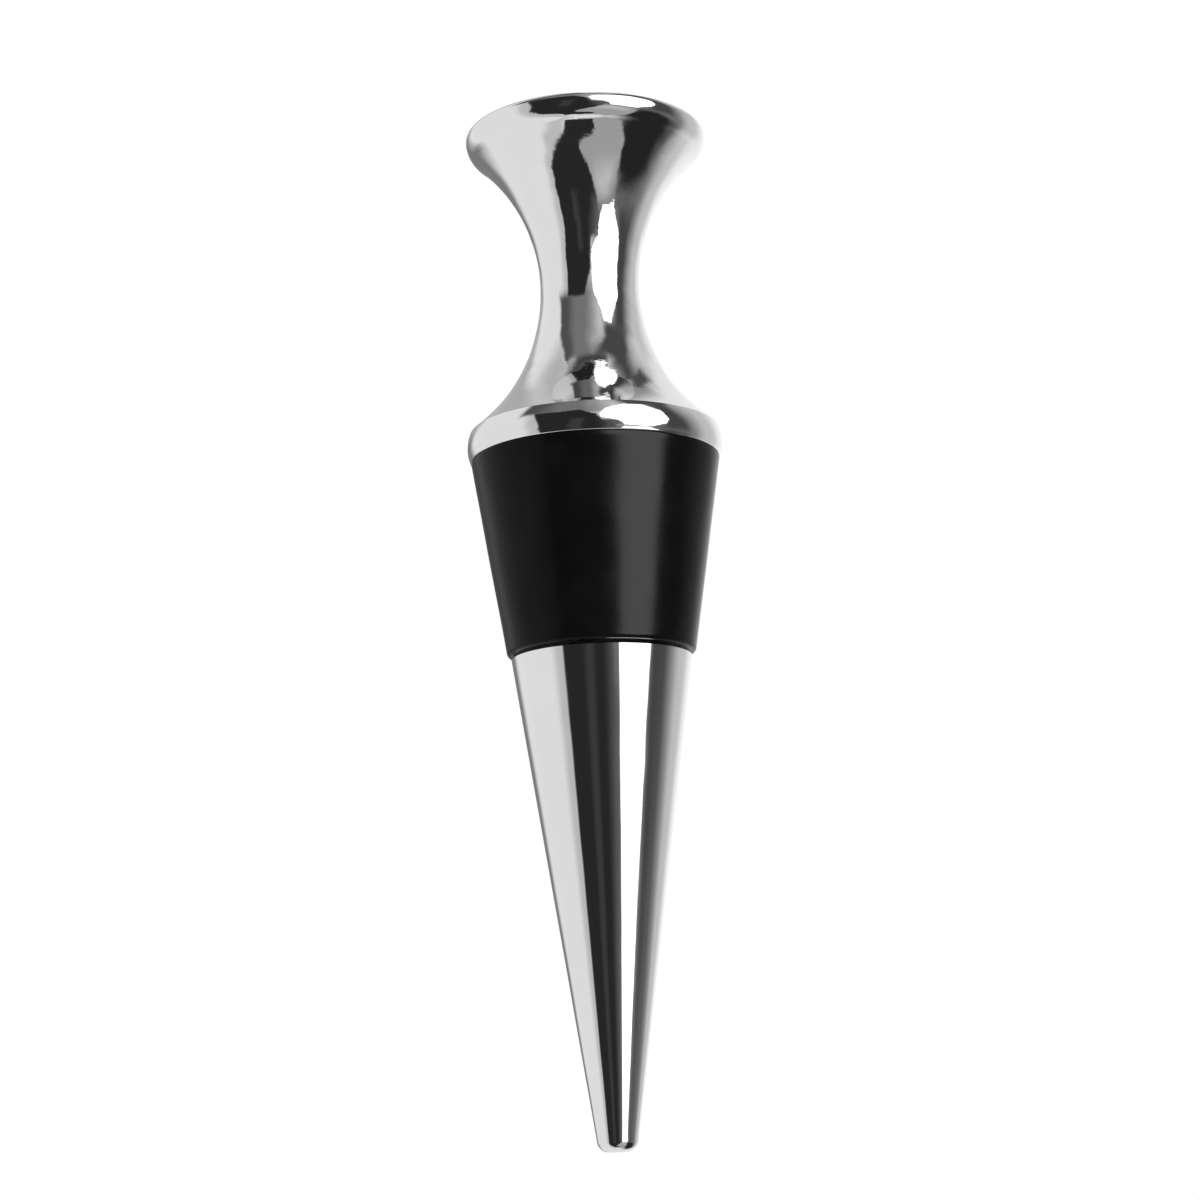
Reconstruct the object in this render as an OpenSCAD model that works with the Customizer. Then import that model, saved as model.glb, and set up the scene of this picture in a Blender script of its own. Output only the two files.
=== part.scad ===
// Bottle stopper: a spool-shaped chrome handle screwed onto a weighted chrome plug,
// with a tapered rubber sleeve clamped between them.
//
// Millimetres, +Z up. The origin is the centre of the seam where the handle's base
// rests on the sleeve. The handle stands above it, the sleeve and the plug hang below.
// A stud pressed into the plug's shank carries the right-hand thread that holds the handle.

/* [Handle] */
// Height of the handle, from the seam to its flat top
handle_h = 33.4; // [30:0.1:38]
// Widest diameter of the rim at the top
top_rim_d = 23.7; // [20:0.1:28]
// Height of the rim band at the top
top_rim_h = 2.3; // [1.8:0.1:3.5]
// How far the rim bulges out past the end of the flare, on the radius
top_rim_bulge = 1; // [0.2:0.1:1.2]
// Widest diameter of the lip at the base
base_lip_d = 24.8; // [24.4:0.1:28]
// Height of the lip band at the base
base_lip_h = 2.8; // [2.4:0.1:4]
// How far the lip bulges out past the end of the flare, on the radius
base_lip_bulge = 0.3; // [0.2:0.1:0.8]
// Diameter of the waist, where the fingers grip
waist_d = 9.7; // [9.6:0.1:14]
// Height of the waist above the seam
waist_z = 17.5; // [16:0.1:19]

/* [Sleeve] */
// Length of the rubber sleeve
sleeve_l = 19.1; // [16:0.1:24]
// Diameter of the sleeve's wide end, at the seam
sleeve_top_d = 24.1; // [22:0.1:24.2]
// Diameter of the sleeve's narrow end, which enters the bottle first
sleeve_end_d = 18.2; // [18:0.1:20]
// Radius of the round on the sleeve's lower edge
sleeve_edge_r = 0.4; // [0.2:0.1:0.6]

/* [Plug] */
// Diameter of the cone at its shoulder, under the sleeve
shoulder_d = 17.3; // [15:0.1:17.4]
// Length of the cone, from the shoulder to the tip
cone_l = 46.6; // [40:0.1:60]
// Diameter of the cone at its rounded tip
tip_d = 3.9; // [3:0.1:6]
// Corner radius of the tip
tip_edge_r = 1.1; // [0.6:0.1:1.4]
// Diameter of the shank that carries the sleeve
shank_d = 10; // [9:0.1:12]

/* [Stud] */
// Diameter of the stud, over the crests of its thread
stud_d = 6; // [5:0.5:6]
// Pitch of the thread
thread_pitch = 1; // [0.8:0.1:1]
// Length of stud that reaches into the handle
stud_in_handle_l = 10; // [8:0.5:11]
// Length of stud pressed into the plug's shank
stud_in_shank_l = 10; // [8:0.5:12]

/* [Hidden] */
$fn = 96;

CHROME = [0.80, 0.81, 0.83];
STEEL = [0.62, 0.63, 0.65];
RUBBER = [0.06, 0.06, 0.065];

// Fits and small edges
running_gap = 0.05;      // on the radius, where one piece turns or slides on another
shank_setback = 0.5;     // the shank stops short of the handle, so the rubber is clamped
drill_tip_angle = 118;   // of the drill that makes the blind holes
hole_extra_l = 2;        // blind hole past the stud's end, in the handle
countersink = 0.5;       // at the mouth of each hole
bevel = 0.4;             // on the shank's end and on the shoulder
overlap = 0.01;          // by which a cutter passes a face

// Handle profile
top_edge_r = 0.5;
lip_widest_z = 1.35;
rim_widest_z = handle_h - top_edge_r;
rim_low_z = handle_h - top_rim_h;
lip_r = base_lip_d / 2;
rim_r = top_rim_d / 2;
waist_r = waist_d / 2;
lower_flare_r = arc_radius(lip_r - base_lip_bulge - waist_r, waist_z - base_lip_h);
upper_flare_r = arc_radius(rim_r - top_rim_bulge - waist_r, rim_low_z - waist_z);
lip_bulge_r = arc_radius(base_lip_bulge, base_lip_h - lip_widest_z);
rim_bulge_r = arc_radius(top_rim_bulge, rim_widest_z - rim_low_z);

// Thread: after a plain neck, one right-hand helix that fades in and out
neck_l = 0.8;
stud_bevel = 0.3;
thread_depth = 0.6 * thread_pitch;
crest_flat = thread_pitch / 8;
root_flat = thread_pitch / 4;
thread_steps = 24;       // around one turn
fade_steps = 12;         // over which each end of the thread fades
turns = floor((stud_in_handle_l - neck_l - stud_bevel) / thread_pitch) - 1;

// Radius of the arc that leaves its tangent by sag after a run along it
function arc_radius(sag, run) = (sag * sag + run * run) / (2 * sag);

// A blind drilled hole with its mouth at the origin, running up +Z
module blind_hole(d, l) {
    translate([0, 0, -overlap])
        cylinder(d = d, h = l + overlap);
    translate([0, 0, l])
        cylinder(d1 = d, d2 = 0, h = d / 2 / tan(drill_tip_angle / 2));
    translate([0, 0, -overlap])
        cylinder(d1 = d + 2 * (countersink + overlap), d2 = d, h = countersink + overlap);
}

// A thin disc on the origin whose lower corner is rounded over its whole height
module rounded_disc(d, edge_r) {
    rotate_extrude() {
        square([d / 2 - edge_r, edge_r]);
        intersection() {
            translate([d / 2 - edge_r, edge_r])
                circle(r = edge_r);
            square([d / 2, edge_r]);
        }
    }
}

// Half-profile, between two heights, of a band that bulges out to widest_r
module bulged_band(widest_r, bulge_r, widest_z, low_z, high_z) {
    intersection() {
        translate([widest_r - bulge_r, widest_z])
            circle(r = bulge_r);
        translate([0, low_z])
            square([widest_r, high_z - low_z]);
    }
    translate([0, low_z])
        square([widest_r - bulge_r, high_z - low_z]);
}

// Half-profile, between two heights, of the stretch hollowed by one flare
module flared_neck(end_r, flare_r, low_z, high_z) {
    difference() {
        translate([0, low_z])
            square([end_r, high_z - low_z]);
        translate([waist_r + flare_r, waist_z])
            circle(r = flare_r);
    }
}

// Cast spool with a tapped blind hole in its base
module handle() {
    color(CHROME)
        difference() {
            union() {
                rotate_extrude() {
                    bulged_band(lip_r, lip_bulge_r, lip_widest_z, 0, base_lip_h);
                    flared_neck(lip_r - base_lip_bulge, lower_flare_r, base_lip_h, waist_z);
                    flared_neck(rim_r - top_rim_bulge, upper_flare_r, waist_z, rim_low_z);
                    bulged_band(rim_r, rim_bulge_r, rim_widest_z, rim_low_z, rim_widest_z);
                }
                translate([0, 0, handle_h])
                    mirror([0, 0, 1])
                        rounded_disc(top_rim_d, top_edge_r);
            }
            blind_hole(stud_d + 2 * running_gap, stud_in_handle_l + hole_extra_l);
        }
}

// Tapered rubber sleeve, bored for the shank, with a rounded lower edge
module rubber_sleeve() {
    color(RUBBER)
        difference() {
            union() {
                translate([0, 0, sleeve_edge_r - sleeve_l])
                    cylinder(d1 = sleeve_end_d, d2 = sleeve_top_d, h = sleeve_l - sleeve_edge_r);
                translate([0, 0, -sleeve_l])
                    rounded_disc(sleeve_end_d, sleeve_edge_r);
            }
            translate([0, 0, -sleeve_l - overlap])
                cylinder(d = shank_d + 2 * running_gap, h = sleeve_l + 2 * overlap);
        }
}

// Turned plug: the cone below the sleeve, and the shank through it with the stud's hole
module plug() {
    shank_l = sleeve_l - shank_setback;
    color(CHROME)
        difference() {
            translate([0, 0, -sleeve_l]) {
                translate([0, 0, shank_l - bevel])
                    cylinder(d1 = shank_d, d2 = shank_d - 2 * bevel, h = bevel);
                cylinder(d = shank_d, h = shank_l - bevel);
                translate([0, 0, -bevel])
                    cylinder(d1 = shoulder_d, d2 = shoulder_d - bevel, h = bevel);
                translate([0, 0, tip_edge_r - cone_l])
                    cylinder(d1 = tip_d, d2 = shoulder_d, h = cone_l - tip_edge_r - bevel);
                translate([0, 0, -cone_l])
                    rounded_disc(tip_d, tip_edge_r);
            }
            translate([0, 0, -shank_setback])
                mirror([0, 0, 1])
                    blind_hole(stud_d, stud_in_shank_l - shank_setback);
        }
}

// Points of a ring around the Z axis
function ring(r, z) = [
    for (step = [0 : thread_steps - 1])
        let (turn_angle = 360 * step / thread_steps)
        [r * cos(turn_angle), r * sin(turn_angle), z]
];

// How far the thread stands up at a step: 0 at both of its ends, 1 between them
function fade(step, last) = min(1, step / fade_steps, (last - step) / fade_steps);

// The four points of the thread's section at one step of its helix, from the bottom up
function section(step, last) =
    let (
        root_r = stud_d / 2 - thread_depth,
        crest_r = root_r + thread_depth * fade(step, last),
        flank = (thread_pitch - crest_flat - root_flat) / 2,
        turn_angle = 360 * step / thread_steps,
        low_z = neck_l + thread_pitch * step / thread_steps,
        radii = [root_r, crest_r, crest_r, root_r],
        heights = [0, flank, flank + crest_flat, 2 * flank + crest_flat]
    )
    [
        for (k = [0 : 3])
            [radii[k] * cos(turn_angle), radii[k] * sin(turn_angle), low_z + heights[k]]
    ];

// Stud with a plain end for the shank and a threaded end for the handle
module joining_stud() {
    n = thread_steps;
    last = turns * n;
    stud_r = stud_d / 2;
    root_r = stud_r - thread_depth;
    low_rings = [
        [stud_r - stud_bevel, -stud_in_shank_l],
        [stud_r, stud_bevel - stud_in_shank_l],
        [stud_r, -shank_setback - thread_depth],
        [root_r, -shank_setback]
    ];
    high_rings = [
        [root_r, stud_in_handle_l - stud_bevel],
        [root_r - stud_bevel, stud_in_handle_l]
    ];
    points = concat(
        [for (p = low_rings) each ring(p[0], p[1])],
        [for (step = [0 : last]) each section(step, last)],
        [for (p = high_rings) each ring(p[0], p[1])]
    );
    neck = 3 * n;                      // first point of the ring below the thread
    thread = 4 * n;                    // first point of the thread
    above = thread + 4 * (last + 1);   // first point of the ring above the thread
    faces = concat(
        [[for (c = [0 : n - 1]) c]],
        [for (row = [0 : 2]) for (c = [0 : n - 1]) ring_quad(row * n, c)],
        // from the neck up to the first turn
        [for (c = [0 : n - 2]) [neck + c, thread + 4 * c, thread + 4 * (c + 1), neck + c + 1]],
        fan(thread + 4 * (n - 1), [thread + 4 * n, thread + 3, thread + 2, thread + 1,
                                   thread, neck, neck + n - 1]),
        // flanks and crest, then the root between one turn and the next
        [for (s = [0 : last - 1]) for (k = [0 : 2])
            let (a = thread + 4 * s + k) [a, a + 1, a + 5, a + 4]],
        [for (s = [0 : last - n - 1])
            let (a = thread + 4 * s + 3, b = thread + 4 * (s + n)) [a, b, b + 4, a + 4]],
        // from the last turn up to the bevelled end
        [for (c = [1 : n - 1])
            let (a = thread + 4 * (last - n + c) + 3) [a, above + c, above + (c + 1) % n, a + 4]],
        let (a = thread + 4 * (last - n) + 3, b = thread + 4 * last)
            fan(a + 4, [a, b, b + 1, b + 2, b + 3, above, above + 1]),
        [for (c = [0 : n - 1]) ring_quad(above, c)],
        [[for (c = [n - 1 : -1 : 0]) above + n + c]]
    );
    color(STEEL)
        polyhedron(points = points, faces = faces, convexity = 10);
}

// One face between a ring that starts at point first and the ring above it
function ring_quad(first, c) =
    let (next = (c + 1) % thread_steps)
    [first + c, first + thread_steps + c, first + thread_steps + next, first + next];

// Triangles from one point to each stretch of a line of points
function fan(apex, line) = [for (i = [0 : len(line) - 2]) [apex, line[i], line[i + 1]]];

handle();
joining_stud();
rubber_sleeve();
plug();
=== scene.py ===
"""Looks of a chrome bottle stopper with a rubber sleeve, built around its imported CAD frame.

Metres, +Z up, the frame's own axes: the origin is on the seam between handle and sleeve.
"""

import math

import bpy
import numpy as np
from mathutils import Matrix, Vector, noise


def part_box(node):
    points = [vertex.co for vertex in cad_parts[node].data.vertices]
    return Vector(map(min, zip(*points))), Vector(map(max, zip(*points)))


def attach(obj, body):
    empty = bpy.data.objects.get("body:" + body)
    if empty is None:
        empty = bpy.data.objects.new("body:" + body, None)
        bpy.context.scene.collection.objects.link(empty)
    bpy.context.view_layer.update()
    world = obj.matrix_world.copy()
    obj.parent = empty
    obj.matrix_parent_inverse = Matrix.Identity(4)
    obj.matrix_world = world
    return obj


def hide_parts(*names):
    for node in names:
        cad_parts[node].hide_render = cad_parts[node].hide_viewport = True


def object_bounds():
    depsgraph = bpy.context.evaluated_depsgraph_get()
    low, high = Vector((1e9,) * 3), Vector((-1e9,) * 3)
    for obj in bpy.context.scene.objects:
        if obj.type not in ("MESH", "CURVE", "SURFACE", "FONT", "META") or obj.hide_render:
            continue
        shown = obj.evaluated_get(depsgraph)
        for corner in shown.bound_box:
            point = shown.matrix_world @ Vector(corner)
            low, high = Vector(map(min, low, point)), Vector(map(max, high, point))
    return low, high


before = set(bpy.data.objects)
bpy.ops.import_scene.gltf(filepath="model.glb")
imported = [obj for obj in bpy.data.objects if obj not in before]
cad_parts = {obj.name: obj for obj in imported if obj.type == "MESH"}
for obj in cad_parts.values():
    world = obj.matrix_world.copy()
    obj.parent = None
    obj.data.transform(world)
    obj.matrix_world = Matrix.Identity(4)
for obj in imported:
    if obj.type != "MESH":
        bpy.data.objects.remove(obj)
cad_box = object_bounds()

MM = 0.001

# Camera: in front of the stopper and a little below its middle, looking up at it
CAMERA_DISTANCE = 0.240
CAMERA_DROP = 0.0453        # below the middle of the box
CAMERA_PITCH = 11.24        # degrees up
CAMERA_ROLL = 1.9           # degrees
LENS = 76.3                 # mm
SENSOR = 36.0               # mm
CLIP = (0.01, 10)

# Heights of the handle's outline above its base
LIP_WIDEST = 1.35 * MM
LIP_TOP = 2.8 * MM
WAIST = 17.5 * MM
RIM_H = 2.3 * MM
TOP_ROUND = 0.5 * MM
SEAM_ROUND = 0.12 * MM      # small round on each edge at the seam

# Other outlines
BEVEL = 0.4 * MM            # on the shank's end and on the cone's shoulder
SLEEVE_ROUND = 0.4 * MM
TIP_ROUND = 1.1 * MM
COUNTERSINK = 0.5 * MM
DRILL_TIP = 118             # degrees, at the end of each blind hole
HANDLE_HOLE_L = 12 * MM
PLUG_HOLE_L = 9.5 * MM      # from the shank's end
HOLE_CLEARANCE = 0.05 * MM  # of the handle's hole round the stud, and of the sleeve round the shank

# Meshes
AROUND = 256                # points in each ring
STEP = 0.2 * MM             # along arcs
LEAST_STEPS = 6             # in the smallest arcs
EASY_STEP = 0.5 * MM        # along straight visible surfaces
HIDDEN_STEP = 2 * MM        # in holes and under the sleeve
SHARP = 18                  # degrees between faces, above which their edge is drawn sharp
SAME_PLACE = 1e-7           # stretches of an outline this near to each other meet
ON_AXIS = 1e-9              # points this near to the axis are one point on it
RING_REACH = 0.05 * MM      # how near to a height the points of a CAD ring lie

# Unevenness of each surface: one or two layers of (size of its bumps, height)
CAST = ((3.0 * MM, 0.045 * MM), (1.4 * MM, 0.016 * MM))     # casting, polished by hand
TURNED = ((4.0 * MM, 0.012 * MM),)
MOULDED = ((6.0 * MM, 0.040 * MM),)
NOISE_START = Vector((3.1, 7.7, 1.9))   # which stretch of the noise is used

# Studio
WHITE, PALE = 1.0, 0.80     # brightness behind the stopper, and elsewhere
BEHIND = (0.5, 0.8)         # share of a direction that points away from the camera: pale to white
FLOOR_DROP = 0.95           # below the middle of the box
FLOOR_R = 3.5
FLOOR_CORNERS = 96
FLOOR_FADE = (0.2 * FLOOR_R, 0.9 * FLOOR_R)     # where the floor turns into the backdrop
FLOOR_TONES = (0.88, 0.90)
FLOOR_MOTTLE = 0.05         # size of its lighter and darker spots
TENT_R = 4.0
TENT_COLUMNS, TENT_ROWS = 360, 180
TENT_END = 89.5             # degrees of elevation, just short of the poles
HIGHLIGHT = 1.6             # brightest that one reflection counts, where 1 is white


# ---------------------------------------------------------------- outlines

def ring_radius(node, height):
    """Radius of a CAD node's outermost points at one height."""
    return max(
        math.hypot(v.co.x, v.co.y)
        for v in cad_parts[node].data.vertices
        if abs(v.co.z - height) < RING_REACH
    )


def line(start, end, step=HIDDEN_STEP):
    """Points from start to end, both included."""
    count = max(1, round(math.dist(start, end) / step))
    return [
        tuple(a + (b - a) * k / count for a, b in zip(start, end))
        for k in range(count + 1)
    ]


def arc(upright, end):
    """Points of the arc that runs upright at its first point and passes through end."""
    across, along = end[0] - upright[0], end[1] - upright[1]
    turn = 2 * math.atan2(abs(across), abs(along))
    radius = math.hypot(across, along) / (2 * math.sin(turn / 2))
    count = max(LEAST_STEPS, round(radius * turn / STEP))
    return [
        (
            upright[0] + math.copysign(radius * (1 - math.cos(turn * k / count)), across),
            upright[1] + math.copysign(radius * math.sin(turn * k / count), along),
        )
        for k in range(count + 1)
    ]


def joined(*stretches):
    """One outline from stretches that meet end to start."""
    outline = list(stretches[0])
    for stretch in stretches[1:]:
        meets = math.dist(outline[-1], stretch[0]) < SAME_PLACE
        outline += stretch[1:] if meets else stretch
    return outline


def blind_hole(radius, mouth_z, depth, up):
    """Outline of a drilled hole, from its end on the axis to the rim of its countersink.

    up is 1 where the hole runs up from its mouth and -1 where it runs down.
    """
    end_z = mouth_z + up * depth
    cone_l = radius / math.tan(math.radians(DRILL_TIP / 2))
    return joined(
        line((0, end_z + up * cone_l), (radius, end_z)),
        line((radius, end_z), (radius, mouth_z + up * COUNTERSINK)),
        line((radius, mouth_z + up * COUNTERSINK), (radius + COUNTERSINK, mouth_z)),
    )


def handle_outline():
    """Half-outline of the spool, from the end of its blind hole round to the middle of its top."""
    low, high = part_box("handle")
    rim_low, rim_widest = high.z - RIM_H, high.z - TOP_ROUND
    radius = {z: ring_radius("handle", z) for z in (low.z, LIP_TOP, WAIST, rim_low, rim_widest)}
    stud_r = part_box("joining_stud")[1].x
    hole = blind_hole(stud_r + HOLE_CLEARANCE, low.z, HANDLE_HOLE_L, 1)
    seam_edge = (radius[low.z], low.z + SEAM_ROUND)
    waist = (radius[WAIST], WAIST)
    widest = (high.x, LIP_WIDEST)
    rim = (radius[rim_widest], rim_widest)
    return joined(
        hole,
        line(hole[-1], (seam_edge[0] - SEAM_ROUND, low.z)),
        arc(seam_edge, (seam_edge[0] - SEAM_ROUND, low.z))[::-1],
        arc(widest, seam_edge)[::-1],
        arc(widest, (radius[LIP_TOP], LIP_TOP)),
        arc(waist, (radius[LIP_TOP], LIP_TOP))[::-1],
        arc(waist, (radius[rim_low], rim_low)),
        arc(rim, (radius[rim_low], rim_low))[::-1],
        arc(rim, (rim[0] - TOP_ROUND, high.z)),
        line((rim[0] - TOP_ROUND, high.z), (0, high.z), EASY_STEP),
    )


def plug_outline():
    """Half-outline of the plug, from the middle of its tip round to the end of the stud's hole."""
    low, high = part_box("plug")
    shoulder_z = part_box("rubber_sleeve")[0].z
    shank_r = shank_radius()
    widest_z = shoulder_z - BEVEL
    shoulder_r = ring_radius("plug", widest_z)
    tip_r = tip_radius()
    stud_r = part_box("joining_stud")[1].x
    hole = blind_hole(stud_r, high.z, PLUG_HOLE_L, -1)
    return joined(
        line((0, low.z), (tip_r - TIP_ROUND, low.z), EASY_STEP),
        arc((tip_r, low.z + TIP_ROUND), (tip_r - TIP_ROUND, low.z))[::-1],
        line((tip_r, low.z + TIP_ROUND), (shoulder_r, widest_z), EASY_STEP),
        line((shoulder_r, widest_z), (shoulder_r - BEVEL / 2, shoulder_z)),
        line((shoulder_r - BEVEL / 2, shoulder_z), (shank_r, shoulder_z)),
        line((shank_r, shoulder_z), (shank_r, high.z - BEVEL)),
        line((shank_r, high.z - BEVEL), (shank_r - BEVEL, high.z)),
        line((shank_r - BEVEL, high.z), hole[-1]),
        hole[::-1],
    )


def shank_radius():
    """Radius of the plug's shank, where its end bevel starts."""
    return ring_radius("plug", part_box("plug")[1].z - BEVEL)


def tip_radius():
    """Radius of the cone where the round of its tip starts."""
    return ring_radius("plug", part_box("plug")[0].z + TIP_ROUND)


def sleeve_outline():
    """Closed half-outline of the tapered tube, once round its wall."""
    low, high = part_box("rubber_sleeve")
    bore_r = shank_radius() + HOLE_CLEARANCE
    top_r = ring_radius("rubber_sleeve", high.z)
    end_r = ring_radius("rubber_sleeve", low.z + SLEEVE_ROUND)
    top_edge = (top_r, high.z - SEAM_ROUND)
    return joined(
        line((bore_r, high.z), (bore_r, low.z)),
        line((bore_r, low.z), (end_r - SLEEVE_ROUND, low.z)),
        arc((end_r, low.z + SLEEVE_ROUND), (end_r - SLEEVE_ROUND, low.z))[::-1],
        line((end_r, low.z + SLEEVE_ROUND), top_edge, EASY_STEP),
        arc(top_edge, (top_r - SEAM_ROUND, high.z)),
        line((top_r - SEAM_ROUND, high.z), (bore_r, high.z))[:-1],
    )


# ---------------------------------------------------------------- meshes

def lathe(name, outline, shape, closed=False):
    """Mesh of an outline turned round the axis.

    shape(r, z, angle) gives each point's real radius. A closed outline is joined to its start.
    """
    points, rows = [], []       # a row is its first point's index and whether it's on the axis
    for r, z in outline:
        on_axis = r < ON_AXIS
        rows.append((len(points), on_axis))
        if on_axis:
            points.append((0, 0, z))
            continue
        for k in range(AROUND):
            angle = 2 * math.pi * k / AROUND
            real_r = shape(r, z, angle)
            points.append((real_r * math.cos(angle), real_r * math.sin(angle), z))
    faces = []
    next_rows = rows[1:] + rows[:1] if closed else rows[1:]
    for (here, here_on_axis), (there, there_on_axis) in zip(rows, next_rows):
        for k in range(AROUND):
            following = (k + 1) % AROUND
            if here_on_axis:
                faces.append((here, there + following, there + k))
            elif there_on_axis:
                faces.append((here + k, here + following, there))
            else:
                faces.append((here + k, here + following, there + following, there + k))
    mesh = bpy.data.meshes.new(name)
    mesh.from_pydata(points, [], faces)
    mesh.shade_smooth()
    mesh.set_sharp_from_angle(angle=math.radians(SHARP))
    return mesh


def uneven(layers, smooth_r, low, high, edge):
    """A shape for lathe with layers of noise on the surface.

    The noise fades within edge of both ends and leaves what lies inside smooth_r as it is.
    """

    def radius(r, z, angle):
        if r < smooth_r:
            return r
        fade = max(0, min(1, (z - low) / edge, (high - z) / edge))
        place = Vector((r * math.cos(angle), r * math.sin(angle), z))
        bumps = sum(height * noise.noise(place / size + NOISE_START) for size, height in layers)
        return r + fade * bumps

    return radius


def add_piece(name, mesh, body, node, material):
    """One visible piece: it replaces its CAD node, rides on the node's body and has its slot."""
    piece = bpy.data.objects.new(name, mesh)
    bpy.context.scene.collection.objects.link(piece)
    mesh.materials.append(material)
    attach(piece, body)
    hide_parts(node)
    return piece


# ---------------------------------------------------------------- materials

class Nodes:
    """A new material and short ways to add and join its nodes."""

    def __init__(self, name):
        self.material = bpy.data.materials.new(name)
        self.material.use_nodes = True
        self.tree = self.material.node_tree
        self.tree.nodes.clear()
        self.place = self.add("ShaderNodeTexCoord").outputs["Object"]

    def add(self, kind, settings=(), **inputs):
        """A new node. In the names of its inputs _ stands for a space."""
        node = self.tree.nodes.new(kind)
        for key, value in dict(settings).items():
            setattr(node, key, value)
        for key, value in inputs.items():
            self.feed(node.inputs[key.replace("_", " ")], value)
        return node

    def feed(self, socket, value):
        """Join another node's socket to this one, or set its value."""
        if isinstance(value, bpy.types.NodeSocket):
            self.tree.links.new(value, socket)
        else:
            socket.default_value = value

    def stretched(self, scale):
        """The place on the piece, stretched by three factors."""
        return self.add("ShaderNodeMapping", Vector=self.place, Scale=scale).outputs["Vector"]

    def noise(self, size, detail=3.0, roughness=0.5, stretch=None):
        """Noise from 0 to 1 with spots of about this size in metres."""
        place = self.stretched(stretch) if stretch else self.place
        node = self.add(
            "ShaderNodeTexNoise", Vector=place, Scale=1 / size, Detail=detail, Roughness=roughness
        )
        return node.outputs["Fac"]

    def spread(self, value, low, high, start=0.3, end=0.7):
        """value, from start to end, turned into low to high."""
        node = self.add("ShaderNodeMapRange", Value=value)
        keys = ("From Min", "From Max", "To Min", "To Max")
        for key, number in zip(keys, (start, end, low, high)):
            node.inputs[key].default_value = number
        return node.outputs["Result"]

    def blend(self, share, first, second):
        """Colour between first, at 0, and second, at 1."""
        node = self.add("ShaderNodeMix", {"data_type": "RGBA"})
        # the mix node has sockets for each type: 0 is the share, 6, 7 and the output 2 are colours
        for index, value in ((0, share), (6, first), (7, second)):
            self.feed(node.inputs[index], value)
        return node.outputs[2]

    def bump(self, height, distance, below=None):
        """Surface normal raised by height, 0 to 1, times a distance in metres."""
        node = self.add("ShaderNodeBump", Height=height, Distance=distance, Strength=1.0)
        if below:
            self.feed(node.inputs["Normal"], below)
        return node.outputs["Normal"]

    def finish(self, **inputs):
        """The material, with a Principled shader of these inputs."""
        shader = self.add("ShaderNodeBsdfPrincipled", **inputs)
        self.add("ShaderNodeOutputMaterial", Surface=shader.outputs["BSDF"])
        return self.material


def grey(value, warmth=0.0):
    """Grey of this brightness. Warmth turns it slightly yellow, or blue when it's negative."""
    return (value * (1 + warmth), value, value * (1 - warmth), 1.0)


def cast_chrome():
    """Chrome over a hand-polished casting: faint smudges, shallow pits and buffing marks."""
    n = Nodes("cast_chrome")
    smudges = n.noise(5 * MM, detail=4)
    buffing = n.noise(0.6 * MM, detail=3, stretch=(0.35, 0.35, 6.0))
    pits = n.noise(0.45 * MM, detail=2)
    normal = n.bump(pits, 0.004 * MM, below=n.bump(buffing, 0.0008 * MM))
    return n.finish(
        Base_Color=n.blend(smudges, grey(0.70), grey(0.745, -0.004)),
        Metallic=1.0,
        Roughness=n.spread(smudges, 0.02, 0.06),
        Normal=normal,
    )


def turned_chrome():
    """Chrome over a turned cone: fine tool marks round the axis soften its reflections."""
    n = Nodes("turned_chrome")
    smudges = n.noise(7 * MM, detail=3)
    tool_marks = n.noise(0.25 * MM, detail=2, stretch=(0.02, 0.02, 1.0))
    normal = n.bump(tool_marks, 0.0006 * MM)
    return n.finish(
        Base_Color=n.blend(smudges, grey(0.70), grey(0.74, -0.004)),
        Metallic=1.0,
        Roughness=n.spread(smudges, 0.03, 0.08),
        Normal=normal,
    )


def moulded_rubber():
    """Black rubber: a satin skin with fine grain, a little dust and soft unevenness."""
    n = Nodes("moulded_rubber")
    bloom = n.noise(4 * MM, detail=4, roughness=0.6)
    grain = n.noise(0.16 * MM, detail=3)
    soft_dents = n.noise(5 * MM, detail=1)
    normal = n.bump(grain, 0.006 * MM, below=n.bump(soft_dents, 0.05 * MM))
    return n.finish(
        Base_Color=n.blend(n.spread(bloom, 0, 1), grey(0.004), grey(0.007, 0.01)),
        Roughness=n.spread(bloom, 0.17, 0.23),
        Specular_IOR_Level=0.06,
        Normal=normal,
    )


def plated_steel():
    """Zinc-plated steel of the stud: cloudy, with marks of the rolled thread."""
    n = Nodes("plated_steel")
    clouds = n.noise(1.5 * MM, detail=5, roughness=0.6)
    rolling = n.noise(0.12 * MM, detail=2, stretch=(0.1, 0.1, 1.0))
    return n.finish(
        Base_Color=n.blend(clouds, grey(0.42, 0.02), grey(0.60, -0.01)),
        Metallic=1.0,
        Roughness=n.spread(clouds, 0.22, 0.42),
        Normal=n.bump(rolling, 0.004 * MM),
    )


# ---------------------------------------------------------------- studio

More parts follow.
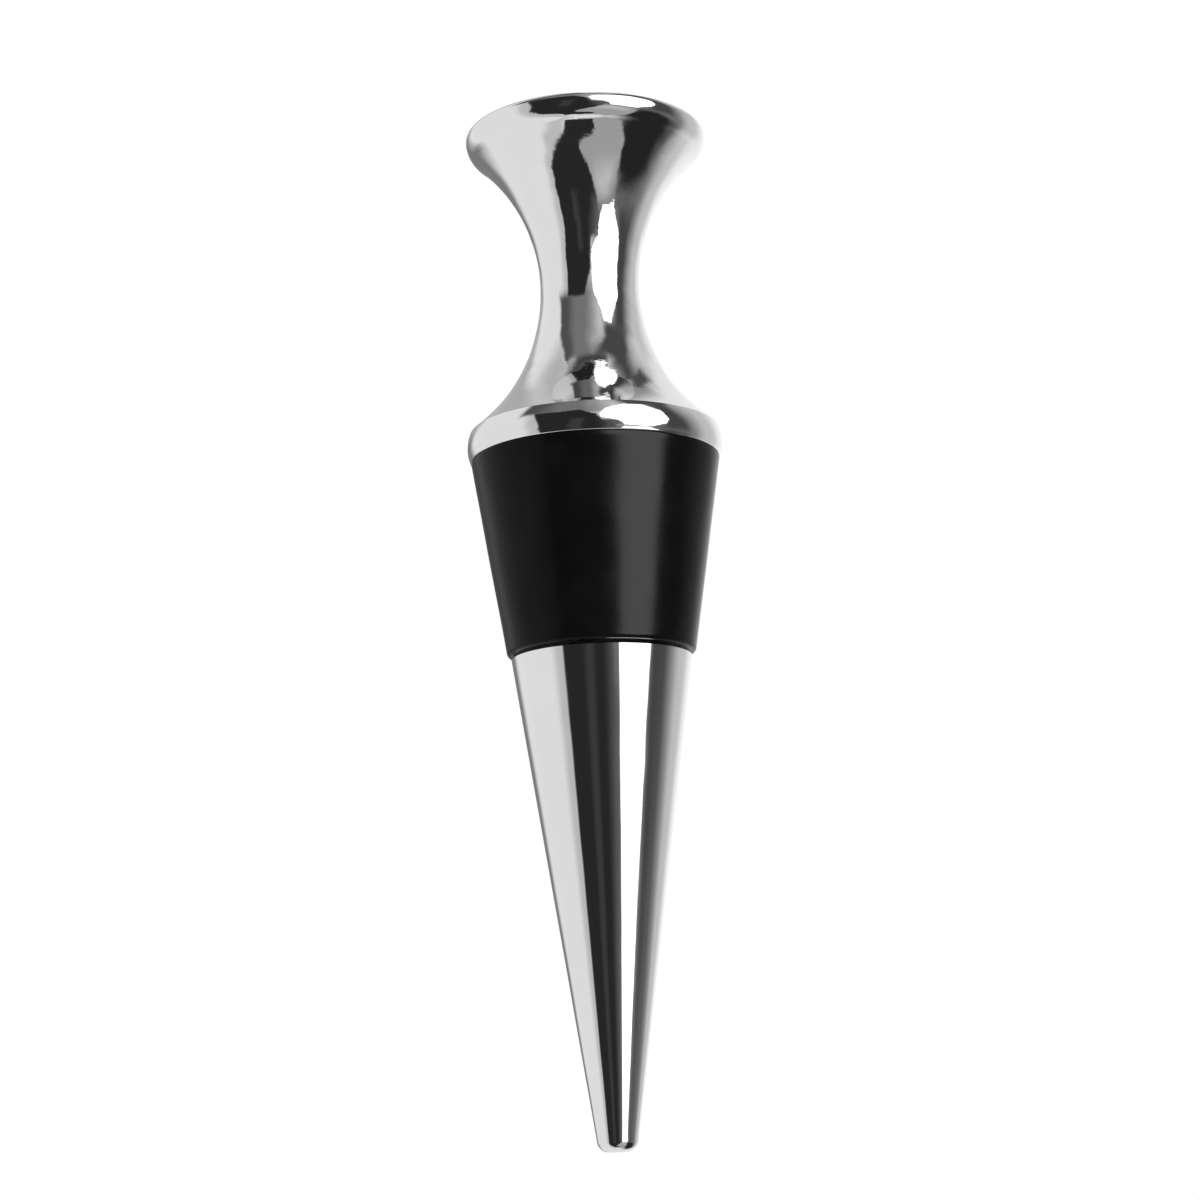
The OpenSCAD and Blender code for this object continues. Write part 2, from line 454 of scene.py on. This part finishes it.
# What the chrome reflects: lights and panels on a tent round the stopper. Each has its
# brightness, the softness of its edge in degrees, and its corners as (azimuth, elevation),
# seen from the stopper: azimuth 0 is towards the camera and 90 is +X. Later ones lie on top.
TENT_LIGHT = 0.97
PANELS = {
    "right_pale": (0.68, 14, [(92, 48), (92, -24), (142, -24), (132, 48)]),
    "rear_white": (1.08, 14, [(146, 20), (146, -40), (184, -40), (184, 20)]),
    "upper_right_grey": (0.34, 9, [(76, 74), (76, 52), (172, 52), (172, 74)]),
    "upper_left_grey": (0.58, 10, [(-172, 76), (-172, 54), (-80, 54), (-80, 76)]),
    "right_dark": (0.075, 18, [(54, 60), (54, -26), (108, -26), (100, 20), (90, 60)]),
    "right_low_grey": (
        0.22, 14,
        [(86, -12), (66, -40), (60, -72), (138, -72), (134, -36), (116, -20), (104, -10)],
    ),
    "right_black": (
        0.022, 9, [(54, -20), (54, -64), (132, -68), (124, -42), (98, -24), (80, -18)],
    ),
    "left_shade": (0.66, 7, [(-63, 40), (-63, -80), (-40, -80), (-40, 40)]),
    "upper_edge": (0.10, 5, [(-80, 72), (-74, 28), (36, 28), (36, 64), (20, 72)]),
    "upper_grey": (0.22, 13, [(-52, 84), (-44, 20), (36, 20), (36, 84)]),
    "upper_light": (0.75, 22, [(4, 62), (10, 26), (36, 26), (34, 62)]),
    "upper_right": (
        0.080, 7, [(12, 74), (38, 46), (88, 46), (96, 60), (124, 62), (124, 74)],
    ),
    "spot": (0.09, 3, [(120, 67), (121, 54), (141, 52), (141, 66)]),
    "lower_grey": (
        0.44, 2,
        [(20, -17), (10, -38), (-3, -46), (-14, -54), (-15, -76), (64, -76), (64, -58),
         (50, -17)],
    ),
    "lower_light": (0.70, 12, [(18, -18), (16, -40), (46, -40), (46, -18)]),
    "black": (
        0.026, 1.5,
        [(-55, 30), (-50, 5), (-50, -8), (-54, -24), (-52, -48), (-36, -66), (-36, -72),
         (14, -72), (18, -65), (-10, -58), (-10, -53), (12, -36), (21, -20), (22, -8), (8, -3),
         (2, 18), (-12, 31)],
    ),
    "streak": (0.055, 4, [(-19, 4), (-25, -26), (-13, -26), (-8, 4)]),
    "flag_edge": (0.15, 12, [(10, 6), (14, -24), (60, -24), (60, 6)]),
    "softbox": (
        13.0, 1.6,
        [(7, 18), (11, 31), (34, 45), (52, 46), (66, 30), (69, 12), (65, -2), (51, -19),
         (28, -19), (23, -5), (9, 5)],
    ),
    "rear_grey": (0.50, 9, [(-180, 52), (-180, 22), (-142, 22), (-142, 52)]),
    "rear_dark": (0.24, 9, [(-180, 22), (-180, -22), (-138, -22), (-146, 22)]),
    "cap_dark": (
        0.07, 4, [(-174, 100), (-174, 74), (-60, 74), (40, 72), (64, 78), (64, 100)],
    ),
}


def cover(azimuth, elevation, corners, softness):
    """How far each direction lies inside a panel, 0 to 1, with a soft edge."""
    distance = np.full(azimuth.shape, np.inf)
    inside = np.zeros(azimuth.shape, bool)
    for (ax, ay), (bx, by) in zip(corners, corners[1:] + corners[:1]):
        ex, ey = bx - ax, by - ay
        px, py = azimuth - ax, elevation - ay
        along = np.clip((px * ex + py * ey) / (ex * ex + ey * ey), 0, 1)
        distance = np.minimum(distance, np.hypot(px - along * ex, py - along * ey))
        if ey:
            crosses = (ay > elevation) != (by > elevation)
            inside ^= crosses & (px < py * ex / ey)
    signed = np.where(inside, distance, -distance)
    share = np.clip(0.5 + signed / (2 * softness), 0, 1)
    return share * share * (3 - 2 * share)


def tent_brightness(azimuth, elevation):
    """Brightness of the tent in each direction."""
    light = np.full(azimuth.shape, TENT_LIGHT)
    for brightness, softness, corners in PANELS.values():
        turns = [cover(azimuth + turn, elevation, corners, softness) for turn in (-360, 0, 360)]
        share = np.max(turns, axis=0)
        light += (brightness - light) * share
    return light


def tent_light():
    """A material that glows with the colours stored in the tent's mesh."""
    material = bpy.data.materials.new("tent_light")
    material.use_nodes = True
    tree = material.node_tree
    tree.nodes.clear()
    colour = tree.nodes.new("ShaderNodeAttribute")
    colour.attribute_name = "light"
    glow = tree.nodes.new("ShaderNodeEmission")
    out = tree.nodes.new("ShaderNodeOutputMaterial")
    tree.links.new(colour.outputs["Color"], glow.inputs["Color"])
    tree.links.new(glow.outputs["Emission"], out.inputs["Surface"])
    material.cycles.emission_sampling = "NONE"
    return material


def light_tent(middle):
    """A sphere of lights and panels that only mirrors and gloss can see."""
    azimuth, elevation = np.meshgrid(
        np.linspace(-180, 180, TENT_COLUMNS, endpoint=False),
        np.linspace(-TENT_END, TENT_END, TENT_ROWS),
    )
    light = tent_brightness(azimuth, elevation)
    a, e = np.radians(azimuth), np.radians(elevation)
    spots = np.stack([np.sin(a) * np.cos(e), -np.cos(a) * np.cos(e), np.sin(e)], axis=-1)
    points = (np.array(middle) + TENT_R * spots).reshape(-1, 3)
    faces = []
    for row in range(TENT_ROWS - 1):
        low, high = row * TENT_COLUMNS, (row + 1) * TENT_COLUMNS
        for k in range(TENT_COLUMNS):
            following = (k + 1) % TENT_COLUMNS
            faces.append((low + k, low + following, high + following, high + k))
    mesh = bpy.data.meshes.new("light_tent")
    mesh.from_pydata(points.tolist(), [], faces)
    colours = mesh.color_attributes.new("light", "FLOAT_COLOR", "POINT")
    shades = np.repeat(light.reshape(-1, 1), 4, axis=1)
    shades[:, 3] = 1
    colours.data.foreach_set("color", shades.ravel())
    mesh.materials.append(tent_light())
    tent = bpy.data.objects.new("light_tent", mesh)
    bpy.context.scene.collection.objects.link(tent)
    tent.visible_camera = tent.visible_diffuse = tent.visible_shadow = False


def floor_material():
    """Matt off-white that turns into the glow of the backdrop far from the middle."""
    n = Nodes("pale_floor")
    distance = n.add("ShaderNodeVectorMath", {"operation": "LENGTH"})
    n.feed(distance.inputs[0], n.place)
    direction = n.add("ShaderNodeVectorMath", {"operation": "NORMALIZE"})
    n.feed(direction.inputs[0], n.place)
    parts = n.add("ShaderNodeSeparateXYZ", Vector=direction.outputs["Vector"])
    share = n.spread(distance.outputs["Value"], 0, 1, *FLOOR_FADE)
    tone = n.spread(n.noise(FLOOR_MOTTLE, detail=3), 0, 1)
    matt = n.add("ShaderNodeBsdfDiffuse", Color=n.blend(tone, *map(grey, FLOOR_TONES)))
    backdrop_tone = n.spread(parts.outputs["Y"], PALE, WHITE, *BEHIND)
    glow = n.add("ShaderNodeEmission", Color=backdrop_tone)
    mixed = n.add("ShaderNodeMixShader", Fac=share)
    n.feed(mixed.inputs[1], matt.outputs["BSDF"])
    n.feed(mixed.inputs[2], glow.outputs["Emission"])
    n.add("ShaderNodeOutputMaterial", Surface=mixed.outputs["Shader"])
    return n.material


def pale_floor(middle):
    """A round floor, far below the stopper."""
    angles = [2 * math.pi * k / FLOOR_CORNERS for k in range(FLOOR_CORNERS)]
    rim = [(FLOOR_R * math.cos(angle), FLOOR_R * math.sin(angle), 0) for angle in angles]
    mesh = bpy.data.meshes.new("floor")
    mesh.from_pydata(rim, [], [tuple(range(FLOOR_CORNERS))])
    mesh.materials.append(floor_material())
    floor = bpy.data.objects.new("floor", mesh)
    floor.location = (middle.x, middle.y, middle.z - FLOOR_DROP)
    floor.visible_glossy = False
    bpy.context.scene.collection.objects.link(floor)


def backdrop():
    """A world that is white behind the stopper and pale elsewhere. Gloss sees the tent instead."""
    world = bpy.data.worlds.new("backdrop")
    world.use_nodes = True
    tree = world.node_tree
    direction = tree.nodes.new("ShaderNodeTexCoord")
    parts = tree.nodes.new("ShaderNodeSeparateXYZ")
    share = tree.nodes.new("ShaderNodeMapRange")
    share.inputs["From Min"].default_value, share.inputs["From Max"].default_value = BEHIND
    share.inputs["To Min"].default_value, share.inputs["To Max"].default_value = PALE, WHITE
    tree.links.new(direction.outputs["Generated"], parts.inputs[0])
    tree.links.new(parts.outputs["Y"], share.inputs["Value"])
    tree.links.new(share.outputs["Result"], tree.nodes["Background"].inputs["Color"])
    bpy.context.scene.world = world
    world.cycles_visibility.glossy = False


def add_camera(middle):
    """The camera at the photographed angle."""
    camera = bpy.data.cameras.new("camera")
    camera.lens, camera.sensor_width = LENS, SENSOR
    camera.clip_start, camera.clip_end = CLIP
    seat = bpy.data.objects.new("camera", camera)
    place = Vector((middle.x, middle.y - CAMERA_DISTANCE, middle.z - CAMERA_DROP))
    seat.matrix_world = (
        Matrix.Translation(place)
        @ Matrix.Rotation(math.radians(90 + CAMERA_PITCH), 4, "X")
        @ Matrix.Rotation(math.radians(-CAMERA_ROLL), 4, "Z")
    )
    bpy.context.scene.collection.objects.link(seat)
    bpy.context.scene.camera = seat


def soften_highlights():
    """Plain tones, and highlights capped so that their edges come out smooth."""
    scene = bpy.context.scene
    scene.view_settings.view_transform = "Standard"
    scene.cycles.sample_clamp_direct = HIGHLIGHT
    scene.cycles.sample_clamp_indirect = HIGHLIGHT


# ---------------------------------------------------------------- the stopper

middle = (cad_box[0] + cad_box[1]) / 2
add_camera(middle)
backdrop()
light_tent(middle)
pale_floor(middle)
soften_highlights()

handle_low, handle_high = (corner.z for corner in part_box("handle"))
plug_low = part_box("plug")[0].z
sleeve_low, sleeve_high = (corner.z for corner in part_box("rubber_sleeve"))
round_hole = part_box("joining_stud")[1].x + 2 * COUNTERSINK
tip_flat = tip_radius() - TIP_ROUND
round_bore = shank_radius() + BEVEL
handle_mesh = lathe(
    "handle_shell", handle_outline(), uneven(CAST, round_hole, handle_low, handle_high, RIM_H)
)
plug_mesh = lathe(
    "plug_shell", plug_outline(), uneven(TURNED, tip_flat, plug_low, sleeve_low - BEVEL, RIM_H)
)
sleeve_mesh = lathe(
    "sleeve_shell", sleeve_outline(), uneven(MOULDED, round_bore, sleeve_low, sleeve_high, RIM_H),
    closed=True,
)
add_piece("handle_shell", handle_mesh, "handle", "handle", cast_chrome())
add_piece("plug_shell", plug_mesh, "plug", "plug", turned_chrome())
add_piece("sleeve_shell", sleeve_mesh, "sleeve", "rubber_sleeve", moulded_rubber())

for stud_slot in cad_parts["joining_stud"].material_slots:
    stud_slot.material = plated_steel()
